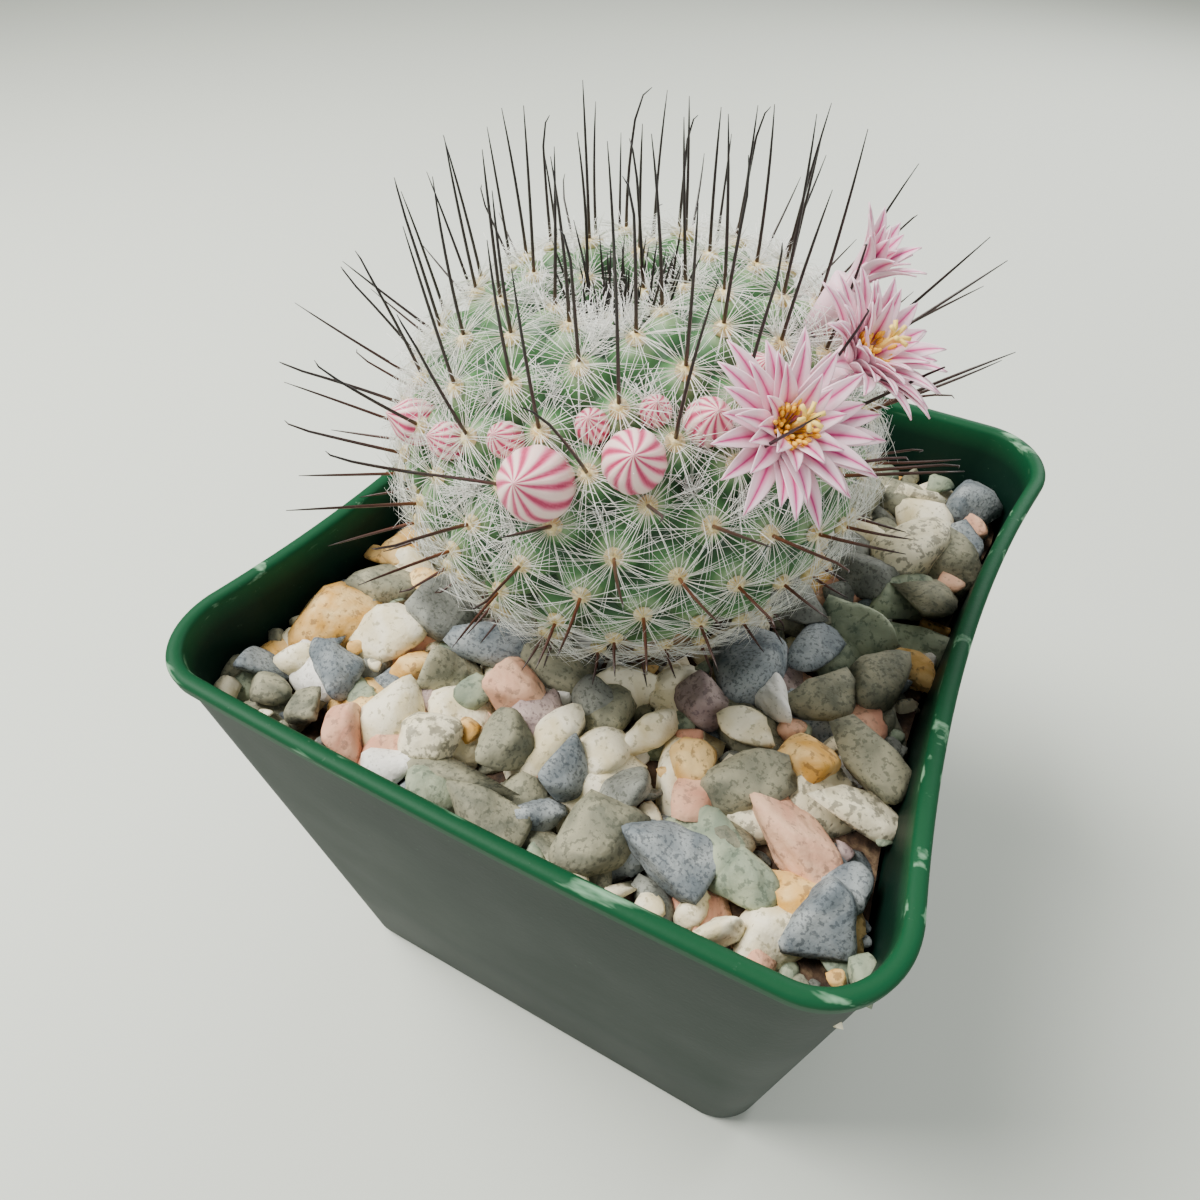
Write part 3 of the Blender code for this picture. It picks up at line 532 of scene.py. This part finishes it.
# painted shade and highlight: the tubercle height darkens the grooves and lightens the tips
blotAndPaintedShade = addNode(tree, "ShaderNodeMath", {0: (blot, 0), 1: 0.35, 2: (tip, 2)}, operation="MULTIPLY_ADD")
skinColourWithPaintedShade = addNode(tree, "ShaderNodeValToRGB", {0: (blotAndPaintedShade, 0)},
                     ((0.12, "0f2615"), (0.5, "27512c"), (0.85, "457542"), (1.0, "7d9a6e")))
tree.links.new(skinColourWithPaintedShade.outputs[0], bsdf.inputs["Base Color"])
bump = addNode(tree, "ShaderNodeBump", {"Height": (blot, 0), "Strength": 0.25, "Distance": 0.0002})
tree.links.new(bump.outputs[0], bsdf.inputs["Normal"])
way, tris = sphereGrid(400, 200)
skinAngle, skinRise = np.arctan2(way[:, 1], way[:, 0]), way[:, 2]
low = stemSurface(skinAngle, skinRise, cactus["tubercle"])
nearest = np.full(len(low), 1.0)
for foot in areoleFoot:
    nearest = np.minimum(nearest, np.linalg.norm(low - foot, axis=1))
bulge = np.clip(1 - nearest / (cactus["tubercleReach"] * mm), 0, 1)
bulge = 1 - (1 - bulge) ** 1.5
lowNormal = stemNormal(skinAngle, skinRise, cactus["tubercle"])
skin = low + lowNormal * (bulge * (cactus["tubercle"] - 0.15) * mm)[:, None]
skin[-2:] = low[-2:]
# the bulge goes along as a vertex attribute that drives the painted shade and highlight on the skin
meshPiece("stem_skin", skin, tris, skinGreen, ("cactus_stem",), {"tip": bulge})
# neck: the corky foot of the stem, down into the potting mix
neck = dict(top=(0.9, -1.3, 63.0), foot=(1.5, -1.3, 52.4), radius=6.4)
neckPath = np.linspace(neck["top"], neck["foot"], 6)[None] * mm
points, faces, marks = sweep(neckPath, neck["radius"] * mm, neck["radius"] * mm, 40)
meshPiece("stem_neck", points, faces, rootBark)

# areoles: cream wool pads
woolCream, tree, bsdf, coords = newMaterial("areoleWool", {"Roughness": 0.95, "Sheen Weight": 0.4})
fluff = addNode(tree, "ShaderNodeTexNoise", {"Vector": (coords, "Object"), "Scale": 2500.0, "Detail": 4.0})
fluffColour = addNode(tree, "ShaderNodeValToRGB", {0: (fluff, 0)},
                      ((0.3, "c9a862"), (0.55, "e6d6a0"), (0.8, "f6efd6")))
tree.links.new(fluffColour.outputs[0], bsdf.inputs["Base Color"])
bump = addNode(tree, "ShaderNodeBump", {"Height": (fluff, 0), "Strength": 0.8, "Distance": 0.0003})
tree.links.new(bump.outputs[0], bsdf.inputs["Normal"])
padHeight = np.array([-0.35, -0.2, 0.1, 0.38, 0.5]) * mm
padPath = areolePoint[:, None] + areoleNormal[:, None] * padHeight[None, :, None]
padWide = np.array([0.55, 0.8, 0.78, 0.45, 0.1]) * mm
points, faces, marks = sweep(padPath, padWide, padWide, 9)
meshPiece("areole_pads", points, faces, woolCream, ("crown_tuft",))

# radial spines: about three dozen fine glassy bristles to an areole
radials = dict(each=42, length=5.1, width=0.062, lift=0.16, start=0.25, droop=0.16)
glassSpine, tree, bsdf, coords = newMaterial("glassyWhiteSpine", {"Roughness": 0.35, "IOR": 1.5})
along = addNode(tree, "ShaderNodeAttribute", attribute_name="along")
spineColour = addNode(tree, "ShaderNodeValToRGB", {0: (along, 2)},
                      ((0.0, "e8d79a"), (0.22, "f1efe2"), (1.0, "f7f8f4")))
tree.links.new(spineColour.outputs[0], bsdf.inputs["Base Color"])


def tangentFrame(normal):
    # two directions square to the normal and to each other: normal x up, then normal x that
    first = unit(np.cross(normal, [0.0, 0.0, 1.0]) + [1e-6, 0, 0])
    return first, np.cross(normal, first)


count = radials["each"]
first, second = tangentFrame(areoleNormal)
spread = np.arange(count) * math.tau / count + rng.normal(0, 0.07, (len(numbers), count))
flat = first[:, None] * np.cos(spread)[..., None] + second[:, None] * np.sin(spread)[..., None]
lift = radials["lift"] + rng.uniform(-0.16, 0.34, (len(numbers), count))
out = unit(flat + areoleNormal[:, None] * lift[..., None])
length = radials["length"] * rng.uniform(0.72, 1.12, (len(numbers), count)) * mm
length *= np.clip(0.7 + numbers / 40, 0, 1)[:, None]
travel = np.linspace(0, 1, 4)
start = areolePoint + areoleNormal * radials["start"] * mm
straight = out[:, :, None] * (length[..., None] * travel)[..., None]
droop = areoleNormal[:, None, None] * (radials["droop"] * length[..., None] * travel ** 2)[..., None]
paths = start[:, None, None] + straight - droop
paths = paths.reshape(-1, 4, 3)
width = radials["width"] / 2 * np.array([1.0, 0.9, 0.65, 0.22]) * mm
points, faces, marks = sweep(paths, width, width, 3)
meshPiece("radial_spines", points, faces, glassSpine, (), {"along": marks["along"]})

# central spines: dark horn, redder at the foot, upright near the crown
centrals = dict(length=12.4, width=0.30, flankLift=0.22, crownLift=3.5, hookShare=0.3, hookAcross=0.7,
                hookDrop=1.3)
darkHorn, tree, bsdf, coords = newMaterial("darkHornSpine", {"Roughness": 0.38, "IOR": 1.5})
along = addNode(tree, "ShaderNodeAttribute", attribute_name="along")
redness = addNode(tree, "ShaderNodeAttribute", attribute_name="redness")
darkColour = addNode(tree, "ShaderNodeValToRGB", {0: (along, 2)},
                     ((0.0, "4a3222"), (0.2, "231612"), (1.0, "0f0c0d")))
redColour = addNode(tree, "ShaderNodeValToRGB", {0: (along, 2)},
                    ((0.0, "7d4722"), (0.25, "4a2314"), (1.0, "1c0f0d")))
hornMix = addNode(tree, "ShaderNodeMix", {0: (redness, 2), 6: (darkColour, 0), 7: (redColour, 0)},
                  data_type="RGBA")
tree.links.new(hornMix.outputs[2], bsdf.inputs["Base Color"])
rowNames = [f"spine_row_{row + 1:02d}" for row in range(13)]
share = np.clip((riseOf - 0.42) / 0.2, 0, 1)  # 0 on the flanks, 1 from near the crown on
upright = centrals["flankLift"] + centrals["crownLift"] * share ** 2
skyward = np.array([0, 0, 1.0])
spineWay = unit(areoleNormal + skyward * upright[:, None] + rng.normal(0, 0.05, areoleNormal.shape))
spineLong = centrals["length"] * np.where(riseOf > 0.2, 1, np.clip(1 + 1.1 * (riseOf - 0.25), 0.3, 1))
spineLong *= rng.uniform(0.86, 1.08, len(numbers)) * mm
travel = np.linspace(0, 1, 8)
bend = rng.normal(0, 0.035, (len(numbers), 3)) * spineLong[:, None]
paths = areolePoint[:, None] + spineWay[:, None] * (spineLong[:, None] * travel)[..., None] \
    + bend[:, None] * (travel ** 2)[None, :, None]
hooked = rng.random(len(numbers)) < centrals["hookShare"]
hook = first * hooked[:, None] * centrals["hookAcross"] * mm
paths[:, -1] += hook - spineWay * hooked[:, None] * centrals["hookDrop"] * mm
paths[:, -2] += hook * 0.5
width = centrals["width"] / 2 * np.array([1.2, 1.0, 0.95, 0.88, 0.8, 0.7, 0.5, 0.2]) * mm
points, faces, marks = sweep(paths, width, width, 6)
red = np.repeat(np.clip((0.45 - riseOf) * 2.2, 0, 1), len(points) // len(numbers))
meshPiece("central_spines", points, faces, darkHorn, rowNames,
          {"along": marks["along"], "redness": red})

# crown: a thicket of young spines standing in the dimple
young = dict(count=46, reach=5.2, length=6.5, spread=5.0, splay=0.35)
spot = np.arange(young["count"])
youngAngle = spot * math.radians(137.5)
youngRise = np.cos(np.sqrt(spot / young["count"]) * young["reach"] / cactus["radius"])
foot = stemSurface(youngAngle, youngRise, cactus["tubercle"] - 0.4)
fromPole = (foot - stemSurface(np.zeros(1), np.ones(1))) / (young["spread"] * mm)
lean = unit(skyward + young["splay"] * fromPole + rng.normal(0, 0.08, foot.shape))
tall = young["length"] * rng.uniform(0.6, 1.2, len(spot)) * mm
paths = foot[:, None] + lean[:, None] * (tall[:, None] * np.linspace(0, 1, 5))[..., None]
width = np.array([0.15, 0.14, 0.12, 0.09, 0.03]) * mm
points, faces, marks = sweep(paths, width, width, 5)
meshPiece("crown_spines", points, faces, darkHorn, (),
          {"along": marks["along"], "redness": np.zeros(len(points))})

# axil wool: cottony hairs between the tubercles round the flowering ring
cotton = newMaterial("axilCotton", {"Roughness": 0.9, "Base Color": colour("fbfaf5"), "Sheen Weight": 0.5})[0]
tufts = dict(places=190, crown=50, hairs=26, length=2.8, aside=10, depth=1.6, spread=0.75, curl=0.4,
             thick=0.025)
axil = numbers[(riseOf < 0.74) & (riseOf > 0.12)]
pick = np.concatenate([rng.choice(axil, tufts["places"]), rng.choice(numbers[riseOf > 0.9], tufts["crown"])])
tuftAngle = angleOf[pick] + math.radians(tufts["aside"]) + rng.normal(0, 0.05, len(pick))
tuftRise = riseOf[pick] + rng.normal(0, 0.03, len(pick))
foot = stemSurface(tuftAngle, tuftRise, tufts["depth"])
tuftNormal = stemNormal(tuftAngle, tuftRise)
hairWay = unit(tuftNormal[:, None] + rng.normal(0, tufts["spread"], (len(pick), tufts["hairs"], 3)))
hairLong = tufts["length"] * rng.uniform(0.5, 1.1, hairWay.shape[:2]) * mm
travel = np.linspace(0, 1, 4)
curl = rng.normal(0, tufts["curl"], hairWay.shape)
paths = foot[:, None, None] + hairWay[:, :, None] * (hairLong[..., None] * travel)[..., None] \
    + curl[:, :, None] * (hairLong[..., None] * travel ** 2)[..., None]
points, faces, marks = sweep(paths.reshape(-1, 4, 3), tufts["thick"] * mm, tufts["thick"] * mm, 3)
meshPiece("axil_wool", points, faces, cotton)

# buds and flowers
print("stage: flowers")


def petalMaterial(name, pale, mid, deep, width):
    # thin satiny tepal: pale edges, a deeper stripe along the middle
    material, tree, bsdf, coords = newMaterial(name, {
        "Roughness": 0.5, "Subsurface Weight": 0.25, "Subsurface Scale": 0.8 * mm,
        "Subsurface Radius": (1.0, 0.5, 0.5), "Sheen Weight": 0.15})
    mark = addNode(tree, "ShaderNodeAttribute", attribute_name="stripe")
    wobble = addNode(tree, "ShaderNodeTexNoise", {
        "Vector": (coords, "Object"), "Scale": 600.0, "Detail": 3.0})
    edge = addNode(tree, "ShaderNodeMath", {0: (wobble, 0), 1: width, 2: (mark, 2)}, operation="MULTIPLY_ADD")
    shade = addNode(tree, "ShaderNodeValToRGB", {0: (edge, 0)},
                    ((width * 0.7, deep), (width * 1.5, mid), (min(width * 3.4, 0.95), pale)))
    tree.links.new(shade.outputs[0], bsdf.inputs["Base Color"])
    bump = addNode(tree, "ShaderNodeBump", {"Height": (edge, 0), "Strength": 0.25, "Distance": 0.0002})
    tree.links.new(bump.outputs[0], bsdf.inputs["Normal"])
    return material


budPink = petalMaterial("stripedBudTepal", "f3d3cb", "d9688a", "b42a58", 0.26)
petalPink = petalMaterial("pinkPetalTissue", "f6cdd9", "e38bb0", "bd2f78", 0.17)
# each bud: turn about the stem in degrees, rise (the cosine from the crown) and diameter in mm
buds = dict(
    bud_01=(278, 0.42, 5.5), bud_02=(299, 0.50, 4.6), bud_03=(318, 0.585, 3.5), bud_04=(289, 0.63, 2.6),
    bud_05=(306, 0.66, 2.4), bud_06=(266, 0.55, 2.8), bud_07=(231, 0.42, 3.8), bud_08=(247, 0.46, 3.0),
    bud_09=(337, 0.67, 3.0), bud_10=(20, 0.56, 4.1))
budLook = dict(depth=2.4, length=1.3, ridge=0.045, stripes=11, twist=0.7, wander=0.9)
for name, (turn, rise, size) in buds.items():
    angle, rise = np.radians([turn]), np.array([rise])
    out = unit(stemNormal(angle, rise) + [0, 0, 0.15])[0]
    foot = stemSurface(angle, rise, budLook["depth"])[0]
    travel = np.linspace(0, 1, 22)
    path = foot + out * (travel * size * budLook["length"] * mm)[:, None]
    wide = size / 2 * mm * np.sin(np.pi * travel ** 0.8) ** 0.55 * np.clip((1.02 - travel) * 3.2, 0, 1) ** 0.5
    wide = np.maximum(wide, 0.03 * mm)
    points, faces, marks = sweep(path[None], wide, wide, 66)
    twisted = marks["spin"] + budLook["twist"] * marks["along"]
    wave = budLook["stripes"] * twisted + budLook["wander"] * np.sin(3 * marks["spin"] + turn)
    middle = foot + out * (marks["along"] * size * budLook["length"] * mm)[:, None]
    points = middle + (points - middle) * (1 + budLook["ridge"] * np.abs(np.cos(wave / 2)))[:, None]
    stripe = 0.5 + 0.5 * np.cos(wave)
    meshPiece(name + "_tepals", points, faces, budPink, (name,), {"stripe": stripe})

# dusty pollen is a dull deep yellow; the stigma's moist lobes are paler and a little smoother
anther = newMaterial("pollenYellow", {"Roughness": 0.8, "Base Color": colour("f0b93a")})[0]
styleGold = newMaterial("stigmaYellow", {"Roughness": 0.6, "Base Color": colour("f2cf6a")})[0]
# each flower: turn, rise, swing about the upright, and each ring from outside in as its number of
# petals, their length in mm and their lift at the foot in radians
flowers = dict(
    flower_1=dict(turn=328, rise=0.47, swing=-4, rings=((16, 6.6, 0.36), (15, 6.2, 0.66), (10, 5.2, 0.98))),
    flower_2=dict(turn=351, rise=0.52, swing=8, rings=((16, 6.9, 0.5), (15, 6.4, 0.8), (10, 5.4, 1.05))),
    flower_3=dict(turn=15, rise=0.64, swing=0, rings=((9, 6.2, 1.1), (8, 5.6, 1.3))))
flowerLook = dict(tube=4.6, throat=6.2, cupDepth=2.6, petalWide=0.86, petalThick=0.07, petalCup=0.22,
                  droop=1.0, footLift=0.55, stamens=60, lobes=6)
for name, look in flowers.items():
    angle, rise = np.radians([look["turn"]]), np.array([look["rise"]])
    swing = math.radians(look["swing"])
    c, d = math.cos(swing), math.sin(swing)
    spun = np.array([[c, -d, 0], [d, c, 0], [0, 0, 1]])
    out = unit(spun @ stemNormal(angle, rise)[0] + [0, 0, 0.2])
    foot = stemSurface(angle, rise, 1.2)[0]
    centre = foot + out * flowerLook["throat"] * mm
    one, two = tangentFrame(out)
    paths, acrosses, wides = [], [], []
    for ring, (petals, long, openness) in enumerate(look["rings"]):
        spin = (np.arange(petals) + 0.37 * ring) * math.tau / petals + rng.normal(0, 0.06, petals)
        flat = one * np.cos(spin)[:, None] + two * np.sin(spin)[:, None]
        lifts = openness + rng.normal(0, 0.09, petals)
        travel = np.linspace(0, 1, 12)
        tilt = lifts[:, None] + flowerLook["footLift"] - flowerLook["droop"] * travel[None]
        step = long * mm / 11 * rng.uniform(0.88, 1.06, petals)[:, None]
        reach = np.cumsum(np.cos(tilt) * step, 1)
        height = np.cumsum(np.sin(tilt) * step, 1)
        cupFoot = centre - out * flowerLook["cupDepth"] * mm
        outward = flat[:, None] * (reach + 0.5 * mm)[..., None]
        paths.append(cupFoot + outward + out * height[..., None])
        acrosses.append(np.broadcast_to(np.cross(np.cross(out, flat), flat)[:, None], (petals, 12, 3)))
        shape = np.sin(np.pi * np.clip(travel * 0.86 + 0.14, 0, 1)) ** 0.8 * flowerLook["petalWide"] * mm
        wides.append(np.broadcast_to(np.maximum(shape, 0.04 * mm), (petals, 12)))
    wides = np.concatenate(wides)
    points, faces, marks = sweep(np.concatenate(paths), wides, flowerLook["petalThick"] * mm, 12,
                                 np.concatenate(acrosses), flowerLook["petalCup"])
    meshPiece(name + "_tepals", points, faces, petalPink, (name + "_petals",),
              {"stripe": np.abs(marks["across"])})
    tube = foot + out * (np.linspace(0, flowerLook["tube"], 8) * mm)[:, None]
    wide = np.linspace(0.9, 1.7, 8) * mm
    points, faces, marks = sweep(tube[None], wide, wide, 24)
    stripe = marks["along"] * 0.5 + 0.3
    meshPiece(name + "_tube", points, faces, petalPink, (), {"stripe": stripe})
    if name == "flower_3":
        continue
    count = flowerLook["stamens"]
    spin = np.arange(count) * 2.4
    flat = one * np.cos(spin)[:, None] + two * np.sin(spin)[:, None]
    lean = unit(out + flat * (0.25 + 0.35 * np.sqrt(np.arange(count) / count))[:, None])
    long = rng.uniform(2.6, 3.6, count) * mm
    travel = np.array([0, 0.5, 0.86, 0.9, 1.0, 1.06])
    paths = (centre - out * 2.2 * mm)[None, None] + lean[:, None] * (long[:, None] * travel)[..., None]
    wide = np.array([0.05, 0.05, 0.05, 0.16, 0.17, 0.05]) * mm
    points, faces, marks = sweep(paths, wide, wide, 6)
    meshPiece(name + "_anthers", points, faces, anther, (name + "_stamens",))
    lobes = np.arange(flowerLook["lobes"]) * math.tau / flowerLook["lobes"]
    flat = one * np.cos(lobes)[:, None] + two * np.sin(lobes)[:, None]
    travel = np.array([0, 0.5, 0.8, 0.95, 1.0])
    paths = (centre - out * 2.0 * mm)[None, None] + out * (travel * 4.6 * mm)[None, :, None] \
        + flat[:, None] * (np.array([0, 0, 0.1, 0.5, 1.0]) * mm)[None, :, None]
    points, faces, marks = sweep(paths, 0.17 * mm, 0.17 * mm, 8)
    meshPiece(name + "_style", points, faces, styleGold, (name + "_stigma",))
